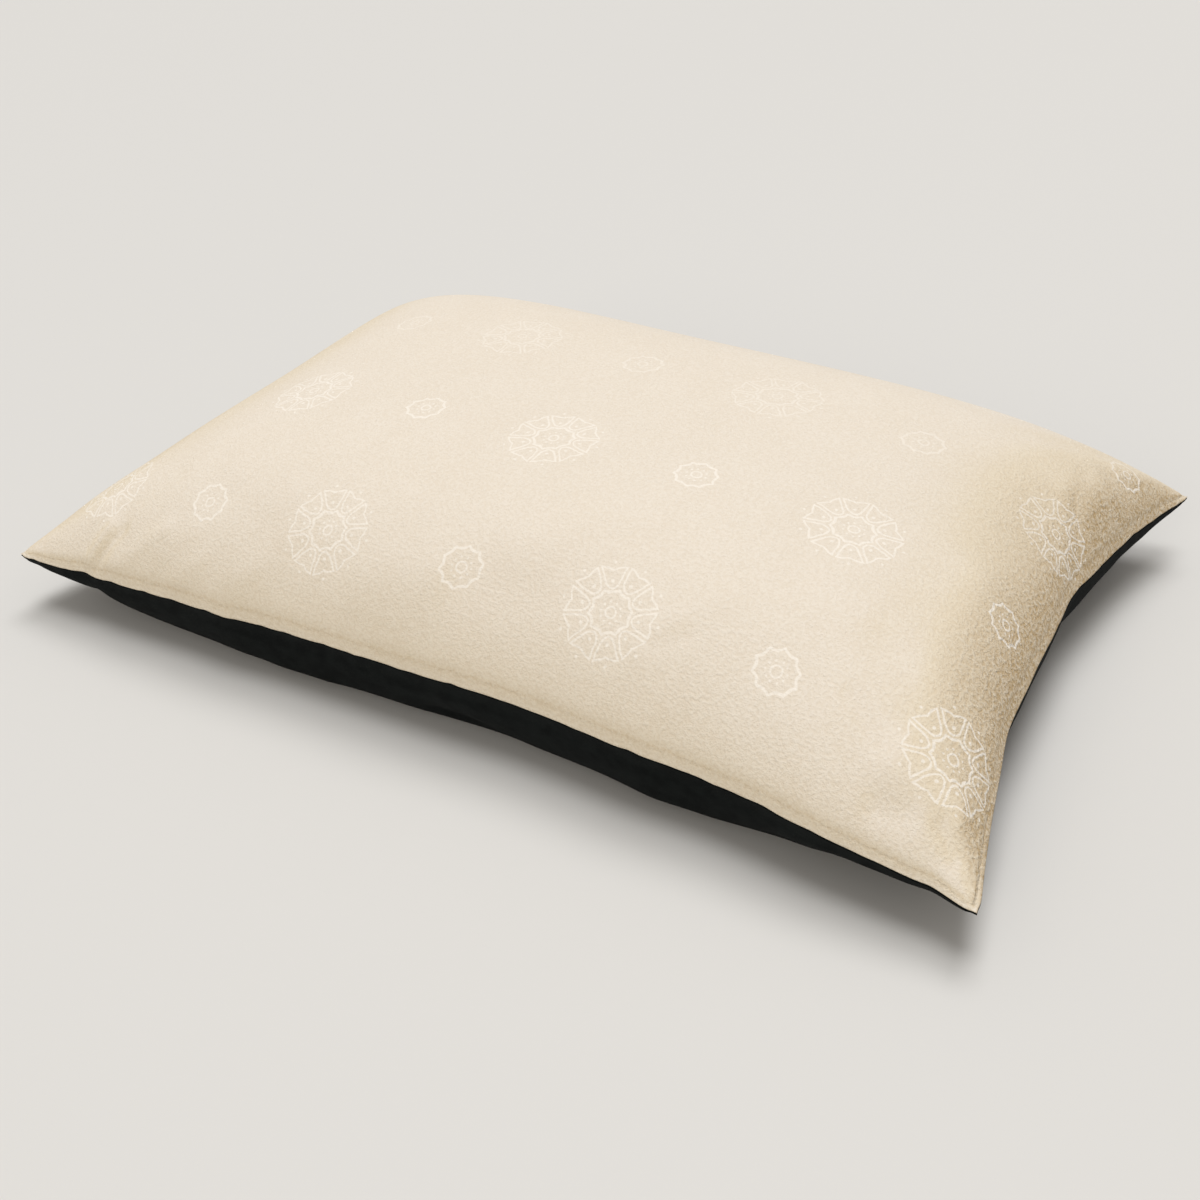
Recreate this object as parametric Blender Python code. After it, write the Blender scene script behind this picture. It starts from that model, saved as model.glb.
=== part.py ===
# Lounge cushion: a large knife-edged floor cushion of two panels, plumply filled, lying on its base.
# The filled solid carries the pale top panel. The dark base panel is a cloth sheet sewn on under it.
# +X runs along the near long side, +Y points to the far long side, and Z is up from the floor at 0.
# The origin is the middle of the underside. All sizes are in metres.

from collections import namedtuple

import bmesh
import bpy
import numpy as np

# Driving sizes
LENGTH = 1.270  # along X, from corner tip to corner tip
WIDTH = 0.817  # along Y, from corner tip to corner tip
CROWN_RISE = 0.153  # the top's middle above the surface that spans the seam
CROWN_POWER = 0.51  # under 1 is a plump cushion with steep sides
BASE_DROP = 0.233  # how far the underside would hang below the seam with no floor under it
BASE_POWER = 0.55
BASE_FULLNESS_ACROSS = 2.9
BASE_FULLNESS_DEEP = 1.9
FLOOR_BLEND = 0.020  # height over which the underside's wall rolls onto the floor
EDGE_SOFTNESS = 0.03  # keeps the crown's slope finite at the seam
BOW_POWER = 2.2  # how evenly a side bows in between its corners
MIDDLE_SPREAD = 0.03  # the cloth stands a little further out than evenly between middle and ends
CLOTH = 0.002  # thickness of a panel
GAP = 0.0003  # between the base panel and the filled solid

# Grid of each panel, closer together towards the seam
COLUMNS = 44
ROWS = 30
EDGE_CROWDING = 0.55
SLOPE_STEP = 0.002  # step in grid units for measuring the surface's slope
SEAM_FADE = 0.05  # grid units from the seam within which folds grow to their full rise

# A corner's place is a sign along X and Y, and its height is the seam's height there.
Corner = namedtuple("Corner", "name across deep height")
CORNERS = (
    Corner("near left", -1, -1, 0.072),
    Corner("near right", 1, -1, 0.056),
    Corner("far right", 1, 1, 0.078),
    Corner("far left", -1, 1, 0.112),
)

# How each side is drawn in at its middle, how that changes along it, the seam's height at its middle
# and how that changes, and how full the crown stays towards it.
Side = namedtuple("Side", "name draw_in draw_change height height_change fullness")
NEAR = Side("near", 0.024, 0.017, 0.084, 0.011, 3.1)
RIGHT = Side("right", 0.057, 0.005, 0.090, -0.010, 3.6)
FAR = Side("far", 0.056, 0.000, 0.103, 0.000, 3.5)
LEFT = Side("left", 0.032, -0.011, 0.088, 0.000, 3.15)

# The filling has shifted, so the crown leans: each row adds a share times powers of the place.
Lean = namedtuple("Lean", "across_power deep_power share")
LEANS = (
    Lean(1, 0, -0.173),
    Lean(0, 1, 0.094),
    Lean(1, 1, -0.018),
    Lean(2, 0, 0.063),
    Lean(0, 2, 0.134),
    Lean(3, 0, 0.099),
    Lean(0, 3, 0.075),
)

# The filling pushes the cloth up beside the right seam, so that the end is steep and its shoulder round.
Roll = namedtuple("Roll", "rise steep reach")
RIGHT_ROLL = Roll(0.0095, 0.025, 0.090)
ROLL_FADE = 0.05  # over how many metres from a corner the roll grows to its full height

# Soft folds of the top panel, each along a straight run seen from above. A positive rise is a ridge.
Fold = namedtuple("Fold", "name x_start y_start x_end y_end half_width rise")
TOP_FOLDS = (
    Fold("left horn ridge", -0.620, -0.397, -0.520, -0.350, 0.024, 0.0035),
    Fold("left horn hollow", -0.475, -0.345, -0.430, -0.300, 0.024, -0.0020),
    Fold("left gather", -0.385, -0.374, -0.345, -0.362, 0.020, 0.0025),
    Fold("left hollow", -0.350, -0.310, -0.240, -0.335, 0.030, -0.0035),
    Fold("near gather", -0.262, -0.385, -0.235, -0.370, 0.016, 0.0020),
    Fold("near swell", -0.080, -0.345, 0.000, -0.330, 0.030, 0.0040),
    Fold("near hollow", 0.030, -0.325, 0.220, -0.305, 0.025, -0.0025),
    Fold("middle swell", 0.100, -0.260, 0.150, -0.220, 0.040, 0.0040),
    Fold("right gather", 0.265, -0.330, 0.310, -0.270, 0.022, 0.0018),
    Fold("right hollow", 0.380, -0.310, 0.420, -0.300, 0.030, -0.0022),
    Fold("right swell", 0.400, -0.235, 0.440, -0.225, 0.022, 0.0015),
    Fold("right shoulder", 0.515, -0.080, 0.525, -0.250, 0.032, 0.0045),
    Fold("shoulder hollow", 0.380, -0.100, 0.360, -0.170, 0.045, -0.0025),
    Fold("near right swell", 0.530, -0.335, 0.585, -0.345, 0.024, 0.0065),
    Fold("near right tuck", 0.525, -0.374, 0.548, -0.370, 0.014, -0.0030),
    Fold("end hollow", 0.520, 0.120, 0.520, 0.040, 0.030, -0.0025),
    Fold("far right shoulder", 0.540, 0.180, 0.550, 0.240, 0.028, 0.0045),
    Fold("far horn ridge", 0.560, 0.300, 0.622, 0.398, 0.018, 0.0025),
    Fold("long crease, far part", -0.147, 0.015, -0.186, -0.085, 0.022, -0.0012),
    Fold("long crease, middle", -0.186, -0.085, -0.160, -0.168, 0.022, -0.0012),
    Fold("long crease, near part", -0.157, -0.185, -0.156, -0.290, 0.022, -0.0020),
)

# Puckers along the seam: the side, the place along it, the half width, and how far it goes in and up.
Pucker = namedtuple("Pucker", "side place half_width inward upward")
PUCKERS = (
    Pucker(NEAR, -0.80, 0.020, 0.003, 0.002),
    Pucker(NEAR, -0.44, 0.040, -0.003, 0.000),
    Pucker(NEAR, 0.18, 0.060, 0.003, 0.000),
    Pucker(NEAR, 0.42, 0.050, -0.004, 0.000),
    Pucker(NEAR, 0.74, 0.070, -0.005, 0.000),
    Pucker(NEAR, 0.93, 0.022, 0.003, 0.000),
    Pucker(RIGHT, 0.20, 0.050, 0.005, 0.000),
    Pucker(RIGHT, -0.45, 0.050, 0.004, 0.000),
    Pucker(LEFT, -0.78, 0.060, -0.005, 0.003),
)

# Swells and tucks of the base panel's wall. A positive rise swells outwards.
BASE_FOLDS = (
    Fold("left horn tuck", -0.560, -0.385, -0.520, -0.375, 0.022, -0.004),
    Fold("left swell", -0.210, -0.360, -0.160, -0.350, 0.045, 0.006),
    Fold("middle dart", 0.020, -0.370, 0.090, -0.330, 0.030, -0.008),
    Fold("right swell", 0.300, -0.355, 0.340, -0.345, 0.045, 0.006),
    Fold("right dent", 0.440, -0.360, 0.500, -0.340, 0.035, -0.006),
    Fold("right horn tuck", 0.510, -0.385, 0.590, -0.385, 0.035, -0.012),
)

PALE_CREAM = (0.82, 0.70, 0.53)
NEAR_BLACK = (0.012, 0.016, 0.016)


def clear_scene():
    for thing in list(bpy.data.objects):
        bpy.data.objects.remove(thing, do_unlink=True)


def cloth_material(name, colour, roughness):
    """A plain cloth finish."""
    material = bpy.data.materials.new(name)
    material.use_nodes = True
    shader = material.node_tree.nodes["Principled BSDF"]
    shader.inputs["Base Color"].default_value = (*colour, 1)
    shader.inputs["Roughness"].default_value = roughness
    shader.inputs["Metallic"].default_value = 0
    material.diffuse_color = (*colour, 1)
    return material


def side_weights(across, deep):
    """How much each side counts at a place, in the order near, right, far, left."""
    return (1 - deep) / 2, (1 + across) / 2, (1 + deep) / 2, (1 - across) / 2


def bow(place):
    """1 in the middle of a side, 0 at its corners."""
    return 1 - np.abs(place) ** BOW_POWER


def pucker_shift(side, place, half_length, column):
    """What the side's puckers add at a place along it, inward or upward."""
    total = np.zeros_like(place)
    for pucker in PUCKERS:
        if pucker.side is side:
            distance = (place - pucker.place) * half_length / pucker.half_width
            total += getattr(pucker, column) * np.exp(-(distance**2))
    return total


def spanned_surface(across, deep):
    """The uncrowned surface that spans the seam: corners joined evenly, each side drawn in and lifted."""
    near, right, far, left = side_weights(across, deep)
    half_length = LENGTH / 2
    half_width = WIDTH / 2
    x = half_length * (across * (1 + MIDDLE_SPREAD) - MIDDLE_SPREAD * across**3)
    y = half_width * deep
    z = np.zeros_like(x)
    for corner in CORNERS:
        z += corner.height * (1 + corner.across * across) * (1 + corner.deep * deep) / 4
    sides = (
        (NEAR, near, across, half_length, CORNERS[0], CORNERS[1]),
        (RIGHT, right, deep, half_width, CORNERS[1], CORNERS[2]),
        (FAR, far, across, half_length, CORNERS[3], CORNERS[2]),
        (LEFT, left, deep, half_width, CORNERS[0], CORNERS[3]),
    )
    for side, weight, place, half, start, end in sides:
        inward = (side.draw_in + side.draw_change * place) * bow(place)
        inward = weight * (inward + pucker_shift(side, place, half, "inward"))
        lift = (side.height + side.height_change * place - (start.height + end.height) / 2) * bow(place)
        z += weight * (lift + pucker_shift(side, place, half, "upward"))
        if side is NEAR:
            y += inward
        elif side is FAR:
            y -= inward
        elif side is LEFT:
            x += inward
        else:
            x -= inward
    return np.stack([x, y, z], axis=-1)


def dome(full, power):
    """0 at the seam and 1 in the middle, with a finite slope at the seam."""
    full = np.clip(full, 0, 1) + EDGE_SOFTNESS
    return (full**power - EDGE_SOFTNESS**power) / ((1 + EDGE_SOFTNESS) ** power - EDGE_SOFTNESS**power)


def crown_height(across, deep):
    near, right, far, left = side_weights(across, deep)
    across_fullness = left * LEFT.fullness + right * RIGHT.fullness
    deep_fullness = near * NEAR.fullness + far * FAR.fullness
    height = dome(1 - np.abs(across) ** across_fullness, CROWN_POWER)
    height = height * dome(1 - np.abs(deep) ** deep_fullness, CROWN_POWER)
    lean = 1 + sum(row.share * across**row.across_power * deep**row.deep_power for row in LEANS)
    return CROWN_RISE * height * lean


def fold_height(x, y, folds):
    """What the folds add at a place seen from above, falling off with the distance from each run."""
    total = np.zeros_like(x)
    for fold in folds:
        run = np.array([fold.x_end - fold.x_start, fold.y_end - fold.y_start])
        along = ((x - fold.x_start) * run[0] + (y - fold.y_start) * run[1]) / (run @ run)
        along = np.clip(along, 0, 1)
        distance = np.hypot(x - fold.x_start - along * run[0], y - fold.y_start - along * run[1])
        total += fold.rise * np.exp(-((distance / fold.half_width) ** 2))
    return total


def roll_height(across, deep):
    to_seam = (1 - across) * LENGTH / 2
    to_ends = (1 - np.abs(deep)) * WIDTH / 2
    rolling = (1 - np.exp(-to_seam / RIGHT_ROLL.steep)) * np.exp(-to_seam / RIGHT_ROLL.reach)
    return RIGHT_ROLL.rise * rolling * (1 - np.exp(-to_ends / ROLL_FADE))


def smooth_top(across, deep):
    points = spanned_surface(across, deep)
    points[..., 2] += crown_height(across, deep) + roll_height(across, deep) + CLOTH + GAP / 2
    return points


def smooth_under(across, deep):
    """The base panel's outer face: it drops from the seam and rolls onto the floor, where it is flat."""
    points = spanned_surface(across, deep)
    full = (1 - np.abs(across) ** BASE_FULLNESS_ACROSS) * (1 - np.abs(deep) ** BASE_FULLNESS_DEEP)
    height = points[..., 2] - CLOTH - GAP / 2 - BASE_DROP * np.clip(full, 0, 1) ** BASE_POWER
    rolled = (height + FLOOR_BLEND) ** 2 / (4 * FLOOR_BLEND)
    height = np.where(height > FLOOR_BLEND, height, np.where(height < -FLOOR_BLEND, 0, rolled))
    points[..., 2] = height
    return points


def upward_normals(surface, across, deep):
    """Unit normals on the surface's upper side, straight up at the seam itself."""
    column = np.clip(across, -1 + SLOPE_STEP, 1 - SLOPE_STEP)
    row = np.clip(deep, -1 + SLOPE_STEP, 1 - SLOPE_STEP)
    slope_x = surface(column + SLOPE_STEP, row) - surface(column - SLOPE_STEP, row)
    slope_y = surface(column, row + SLOPE_STEP) - surface(column, row - SLOPE_STEP)
    normals = np.cross(slope_x, slope_y)
    normals /= np.linalg.norm(normals, axis=-1, keepdims=True)
    on_seam = np.maximum(np.abs(across), np.abs(deep)) > 1 - SLOPE_STEP
    normals[on_seam] = (0, 0, 1)
    return normals


def seam_fade(across, deep):
    """1 inside the panel, 0 on the seam, so that folds meet the seam without lifting it."""
    to_seam = np.minimum(1 - np.abs(across), 1 - np.abs(deep))
    return np.clip(to_seam / SEAM_FADE, 0, 1)


def top_face(across, deep):
    points = smooth_top(across, deep)
    rise = fold_height(points[..., 0], points[..., 1], TOP_FOLDS) * seam_fade(across, deep)
    return points + rise[..., None] * upward_normals(smooth_top, across, deep)


def base_outer_face(across, deep):
    points = smooth_under(across, deep)
    rise = fold_height(points[..., 0], points[..., 1], BASE_FOLDS) * seam_fade(across, deep)
    clear_of_floor = np.clip(points[..., 2] / FLOOR_BLEND, 0, 1)
    points = points - (rise * clear_of_floor)[..., None] * upward_normals(smooth_under, across, deep)
    points[..., 2] = np.maximum(points[..., 2], 0)
    return points


def base_inner_face(across, deep):
    return base_outer_face(across, deep) + CLOTH * upward_normals(smooth_under, across, deep)


def filling_under_face(across, deep):
    return base_outer_face(across, deep) + (CLOTH + GAP) * upward_normals(smooth_under, across, deep)


def crowded(place):
    """Moves even grid lines between -1 and 1 closer to the ends."""
    return (1 - EDGE_CROWDING) * place + EDGE_CROWDING * np.sin(place * np.pi / 2)


def place_points(verts, face):
    across = crowded(np.array([vert.co.x for vert in verts]))
    deep = crowded(np.array([vert.co.y for vert in verts]))
    for vert, point in zip(verts, face(across, deep)):
        vert.co = point


def panel_solid(name, lower_face, upper_face, material, collection):
    """A closed solid between two faces that share one grid and meet the same seam."""
    work = bmesh.new()
    bmesh.ops.create_grid(work, x_segments=COLUMNS, y_segments=ROWS, size=1)
    bmesh.ops.triangulate(work, faces=work.faces[:], quad_method="FIXED")
    lower = work.verts[:]
    grown = bmesh.ops.extrude_face_region(work, geom=work.faces[:], use_keep_orig=True)
    upper = [item for item in grown["geom"] if isinstance(item, bmesh.types.BMVert)]
    place_points(lower, lower_face)
    place_points(upper, upper_face)
    bmesh.ops.recalc_face_normals(work, faces=work.faces[:])
    mesh = bpy.data.meshes.new(name)
    work.to_mesh(mesh)
    work.free()
    mesh.shade_smooth()
    mesh.materials.append(material)
    solid = bpy.data.objects.new(name, mesh)
    collection.objects.link(solid)
    return solid


def main():
    clear_scene()
    collection = bpy.data.collections.new("lounge_cushion")
    bpy.context.scene.collection.children.link(collection)
    cream = cloth_material("cream_fleece", PALE_CREAM, 0.95)
    black = cloth_material("black_canvas", NEAR_BLACK, 0.9)
    panel_solid("filled_top", filling_under_face, top_face, cream, collection)
    panel_solid("base_panel", base_outer_face, base_inner_face, black, collection)


main()
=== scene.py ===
# Lounge cushion: the printed fleece top and the black canvas base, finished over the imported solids.
# All sizes are in metres. +X runs along the near long side, +Y away from it, +Z up from the floor.

import math
from collections import namedtuple

import bmesh
import bpy
import numpy as np
from mathutils import Matrix, Vector


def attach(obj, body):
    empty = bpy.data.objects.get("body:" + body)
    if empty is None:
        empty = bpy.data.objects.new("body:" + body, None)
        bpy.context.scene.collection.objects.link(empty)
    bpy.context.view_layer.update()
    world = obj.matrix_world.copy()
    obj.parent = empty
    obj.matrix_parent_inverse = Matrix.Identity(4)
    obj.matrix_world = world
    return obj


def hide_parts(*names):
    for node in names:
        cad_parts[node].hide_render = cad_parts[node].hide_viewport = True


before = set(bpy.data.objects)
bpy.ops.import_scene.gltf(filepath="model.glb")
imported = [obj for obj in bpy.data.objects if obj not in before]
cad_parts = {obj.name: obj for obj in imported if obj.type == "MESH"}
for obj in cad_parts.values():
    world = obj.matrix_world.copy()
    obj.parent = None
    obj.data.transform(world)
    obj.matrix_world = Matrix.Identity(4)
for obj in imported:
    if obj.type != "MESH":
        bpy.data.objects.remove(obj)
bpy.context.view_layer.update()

print("packed solids loaded:", ", ".join(sorted(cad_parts)))

# The cushion's form, with the same values as its solids have

cushionForm = {
    "length": 1.270,  # corner tip to corner tip
    "width": 0.817,
    "crownRise": 0.153,
    "crownPower": 0.51,
    "baseDrop": 0.233,
    "basePower": 0.55,
    "baseFullnessAcross": 2.9,
    "baseFullnessDeep": 1.9,
    "floorBlend": 0.020,
    "edgeSoftness": 0.03,
    "bowPower": 2.2,
    "middleSpread": 0.03,
    "cloth": 0.002,
    "gap": 0.0003,
    "slopeStep": 0.002,
    "seamFade": 0.05,
    "rollFade": 0.05,  # over how many metres from a corner a roll grows to its full height
    "edgeCrowding": 0.70,  # how much closer the grid lines lie beside the seam
    "lip": 0.0011,  # how far each cloth's folded edge rounds out past the seam
    "cornerPull": 0.0035,  # the turned corners are a little blunt
    "cornerReach": 0.010,
    "gatherPitch": (0.028, 0.065),  # shortest and longest step between the small gathers along the seam
    "gatherHalfWidth": (0.006, 0.013),
    "gatherReach": (0.010, 0.026),  # how far each runs in from the seam
    "gatherRise": (0.0007, 0.0020),
    "gatherTurns": (-0.7, 1),  # some sink instead, and less
    "gatherSeed": 11,
    "nearlySeam": 0.9999,  # a grid point beyond this place lies on a seam
}

Corner = namedtuple("Corner", "name across deep height")
corners = (
    Corner("near left", -1, -1, 0.072),
    Corner("near right", 1, -1, 0.056),
    Corner("far right", 1, 1, 0.078),
    Corner("far left", -1, 1, 0.112),
)

Side = namedtuple("Side", "name drawIn drawChange height heightChange fullness")
nearSide = Side("near", 0.024, 0.017, 0.084, 0.011, 3.1)
rightSide = Side("right", 0.057, 0.005, 0.090, -0.010, 3.6)
farSide = Side("far", 0.056, 0.000, 0.103, 0.000, 3.5)
leftSide = Side("left", 0.032, -0.011, 0.088, 0.000, 3.15)

# The filling pushes the cloth up beside a seam, so that it rolls down to it steeply
Roll = namedtuple("Roll", "rise steep reach")
rightRoll = Roll(0.0095, 0.025, 0.090)

Lean = namedtuple("Lean", "acrossPower deepPower share")
leans = (
    Lean(1, 0, -0.173),
    Lean(0, 1, 0.094),
    Lean(1, 1, -0.018),
    Lean(2, 0, 0.063),
    Lean(0, 2, 0.134),
    Lean(3, 0, 0.099),
    Lean(0, 3, 0.075),
)

# Each fold runs straight between two places seen from above. A positive rise is a ridge.
Fold = namedtuple("Fold", "name xStart yStart xEnd yEnd halfWidth rise")
mainFolds = (
    Fold("left horn ridge", -0.620, -0.397, -0.520, -0.350, 0.024, 0.0035),
    Fold("left horn hollow", -0.475, -0.345, -0.430, -0.300, 0.024, -0.0020),
    Fold("left gather", -0.385, -0.374, -0.345, -0.362, 0.020, 0.0025),
    Fold("left hollow", -0.350, -0.310, -0.240, -0.335, 0.030, -0.0035),
    Fold("near gather", -0.262, -0.385, -0.235, -0.370, 0.016, 0.0020),
    Fold("near swell", -0.080, -0.345, 0.000, -0.330, 0.030, 0.0040),
    Fold("near hollow", 0.030, -0.325, 0.220, -0.305, 0.025, -0.0025),
    Fold("middle swell", 0.100, -0.260, 0.150, -0.220, 0.040, 0.0040),
    Fold("right gather", 0.265, -0.330, 0.310, -0.270, 0.022, 0.0018),
    Fold("right hollow", 0.380, -0.310, 0.420, -0.300, 0.030, -0.0022),
    Fold("right swell", 0.400, -0.235, 0.440, -0.225, 0.022, 0.0015),
    Fold("right shoulder", 0.515, -0.080, 0.525, -0.250, 0.032, 0.0045),
    Fold("shoulder hollow", 0.380, -0.100, 0.360, -0.170, 0.045, -0.0025),
    Fold("near right swell", 0.530, -0.335, 0.585, -0.345, 0.024, 0.0065),
    Fold("near right tuck", 0.525, -0.374, 0.548, -0.370, 0.014, -0.0030),
    Fold("end hollow", 0.520, 0.120, 0.520, 0.040, 0.030, -0.0025),
    Fold("far right shoulder", 0.540, 0.180, 0.550, 0.240, 0.028, 0.0045),
    Fold("far horn ridge", 0.560, 0.300, 0.622, 0.398, 0.018, 0.0025),
    Fold("long crease, far part", -0.147, 0.015, -0.186, -0.085, 0.022, -0.0012),
    Fold("long crease, middle", -0.186, -0.085, -0.160, -0.168, 0.022, -0.0012),
    Fold("long crease, near part", -0.157, -0.185, -0.156, -0.290, 0.022, -0.0020),
)

# Finer creases, which only the fleece shows
fineFolds = (
    Fold("left horn tuck", -0.506, -0.404, -0.484, -0.366, 0.008, 0.0030),
    Fold("left horn crease", -0.490, -0.404, -0.460, -0.368, 0.007, -0.0026),
    Fold("second left tuck", -0.461, -0.401, -0.388, -0.361, 0.010, 0.0024),
    Fold("third left tuck", -0.351, -0.391, -0.316, -0.376, 0.010, 0.0022),
    Fold("short crease", -0.314, -0.317, -0.274, -0.248, 0.012, -0.0010),
    Fold("long crease, near end", -0.160, -0.300, -0.172, -0.345, 0.010, -0.0014),
    Fold("long crease, middle line", -0.157, -0.243, -0.160, -0.168, 0.008, -0.0008),
    Fold("middle crease", 0.019, -0.275, 0.004, -0.123, 0.012, -0.0009),
    Fold("dent over the middle", 0.107, -0.207, 0.140, -0.284, 0.012, -0.0012),
    Fold("right crease", 0.269, -0.329, 0.302, -0.308, 0.010, -0.0014),
    Fold("shoulder crease", 0.467, -0.304, 0.511, -0.335, 0.010, -0.0016),
    Fold("end crease", 0.576, 0.092, 0.545, 0.171, 0.010, -0.0014),
    Fold("end crease, far part", 0.545, 0.171, 0.538, 0.234, 0.010, -0.0010),
    Fold("near right tip crease", 0.600, -0.378, 0.581, -0.365, 0.008, -0.0018),
)

Pucker = namedtuple("Pucker", "side place halfWidth inward upward")
puckers = (
    Pucker(nearSide, -0.80, 0.020, 0.003, 0.002),
    Pucker(nearSide, -0.44, 0.040, -0.003, 0.000),
    Pucker(nearSide, 0.18, 0.060, 0.003, 0.000),
    Pucker(nearSide, 0.42, 0.050, -0.004, 0.000),
    Pucker(nearSide, 0.74, 0.070, -0.005, 0.000),
    Pucker(nearSide, 0.93, 0.022, 0.003, 0.000),
    Pucker(rightSide, 0.20, 0.050, 0.005, 0.000),
    Pucker(rightSide, -0.45, 0.050, 0.004, 0.000),
    Pucker(leftSide, -0.78, 0.060, -0.005, 0.003),
)

baseFolds = (
    Fold("left horn tuck", -0.560, -0.385, -0.520, -0.375, 0.022, -0.004),
    Fold("left swell", -0.210, -0.360, -0.160, -0.350, 0.045, 0.006),
    Fold("middle dart", 0.020, -0.370, 0.090, -0.330, 0.030, -0.008),
    Fold("right swell", 0.300, -0.355, 0.340, -0.345, 0.045, 0.006),
    Fold("right dent", 0.440, -0.360, 0.500, -0.340, 0.035, -0.006),
    Fold("right horn tuck", 0.510, -0.385, 0.590, -0.385, 0.035, -0.012),
)


def sideWeights(across, deep):
    # near, right, far, left
    return (1 - deep) / 2, (1 + across) / 2, (1 + deep) / 2, (1 - across) / 2


def bow(place):
    return 1 - np.abs(place) ** cushionForm["bowPower"]


def puckerShift(side, place, half, column):
    total = np.zeros_like(place)
    for pucker in puckers:
        if pucker.side is side:
            distance = (place - pucker.place) * half / pucker.halfWidth
            total += getattr(pucker, column) * np.exp(-(distance**2))
    return total


def gatherRows(length, seed):
    # place, half width, reach and rise of each small gather along one side
    chance = np.random.default_rng(seed)
    rows = []
    place = chance.uniform(*cushionForm["gatherPitch"])
    while place < length:
        rise = chance.uniform(*cushionForm["gatherRise"]) * chance.choice(cushionForm["gatherTurns"])
        halfWidth = chance.uniform(*cushionForm["gatherHalfWidth"])
        reach = chance.uniform(*cushionForm["gatherReach"])
        rows.append((place, halfWidth, reach, rise))
        place += chance.uniform(*cushionForm["gatherPitch"])
    return rows


def seamDistances(across, deep):
    # how far it is, in metres, to the near, right, far and left seams
    halfLength = cushionForm["length"] / 2
    halfWidth = cushionForm["width"] / 2
    toNear, toFar = (1 + deep) * halfWidth, (1 - deep) * halfWidth
    toLeft, toRight = (1 + across) * halfLength, (1 - across) * halfLength
    return toNear, toRight, toFar, toLeft


def rollHeight(roll, toSeam, toEnds):
    rolling = (1 - np.exp(-toSeam / roll.steep)) * np.exp(-toSeam / roll.reach)
    return roll.rise * rolling * (1 - np.exp(-toEnds / cushionForm["rollFade"]))


def seamGatherHeight(across, deep):
    # both cloths ripple together, because they are gathered on one line of thread
    length = cushionForm["length"]
    width = cushionForm["width"]
    toNear, toRight, toFar, toLeft = seamDistances(across, deep)
    total = np.zeros_like(across)
    sides = (
        (toLeft, toNear, length),
        (toNear, toRight, width),
        (toLeft, toFar, length),
        (toNear, toLeft, width),
    )
    for number, (along, inward, sideLength) in enumerate(sides):
        for place, halfWidth, reach, rise in gatherRows(sideLength, cushionForm["gatherSeed"] + number):
            spreading = halfWidth * (1 + inward / reach)
            total += rise * np.exp(-(((along - place) / spreading) ** 2) - (inward / reach) ** 2)
    return total


def spannedSurface(across, deep):
    # the uncrowned surface between the four seams
    near, right, far, left = sideWeights(across, deep)
    halfLength = cushionForm["length"] / 2
    halfWidth = cushionForm["width"] / 2
    spread = cushionForm["middleSpread"]
    x = halfLength * (across * (1 + spread) - spread * across**3)
    y = halfWidth * deep
    z = np.zeros_like(x)
    for corner in corners:
        z += corner.height * (1 + corner.across * across) * (1 + corner.deep * deep) / 4
    sides = (
        (nearSide, near, across, halfLength, corners[0], corners[1]),
        (rightSide, right, deep, halfWidth, corners[1], corners[2]),
        (farSide, far, across, halfLength, corners[3], corners[2]),
        (leftSide, left, deep, halfWidth, corners[0], corners[3]),
    )
    for side, weight, place, half, start, end in sides:
        inward = (side.drawIn + side.drawChange * place) * bow(place)
        inward = weight * (inward + puckerShift(side, place, half, "inward"))
        lift = (side.height + side.heightChange * place - (start.height + end.height) / 2) * bow(place)
        z += weight * (lift + puckerShift(side, place, half, "upward"))
        if side is nearSide:
            y += inward
        elif side is farSide:
            y -= inward
        elif side is leftSide:
            x += inward
        else:
            x -= inward
    z += seamGatherHeight(across, deep)
    toNear, toRight, toFar, toLeft = seamDistances(across, deep)
    fromCorner = np.hypot(np.minimum(toNear, toFar), np.minimum(toLeft, toRight))
    pull = cushionForm["cornerPull"] * np.exp(-((fromCorner / cushionForm["cornerReach"]) ** 2))
    x -= pull * np.sign(across)
    y -= pull * np.sign(deep)
    return np.stack([x, y, z], axis=-1)


def dome(full, power):
    soft = cushionForm["edgeSoftness"]
    full = np.clip(full, 0, 1) + soft
    return (full**power - soft**power) / ((1 + soft) ** power - soft**power)


def crownHeight(across, deep):
    near, right, far, left = sideWeights(across, deep)
    acrossFullness = left * leftSide.fullness + right * rightSide.fullness
    deepFullness = near * nearSide.fullness + far * farSide.fullness
    height = dome(1 - np.abs(across) ** acrossFullness, cushionForm["crownPower"])
    height = height * dome(1 - np.abs(deep) ** deepFullness, cushionForm["crownPower"])
    lean = 1 + sum(row.share * across**row.acrossPower * deep**row.deepPower for row in leans)
    return cushionForm["crownRise"] * height * lean


def foldHeight(x, y, folds):
    total = np.zeros_like(x)
    for fold in folds:
        run = np.array([fold.xEnd - fold.xStart, fold.yEnd - fold.yStart])
        along = ((x - fold.xStart) * run[0] + (y - fold.yStart) * run[1]) / (run @ run)
        along = np.clip(along, 0, 1)
        distance = np.hypot(x - fold.xStart - along * run[0], y - fold.yStart - along * run[1])
        total += fold.rise * np.exp(-((distance / fold.halfWidth) ** 2))
    return total


def smoothTop(across, deep):
    points = spannedSurface(across, deep)
    points[..., 2] += crownHeight(across, deep) + cushionForm["cloth"] + cushionForm["gap"] / 2
    toNear, toRight, toFar, toLeft = seamDistances(across, deep)
    points[..., 2] += rollHeight(rightRoll, toRight, np.minimum(toNear, toFar))
    return points


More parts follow.
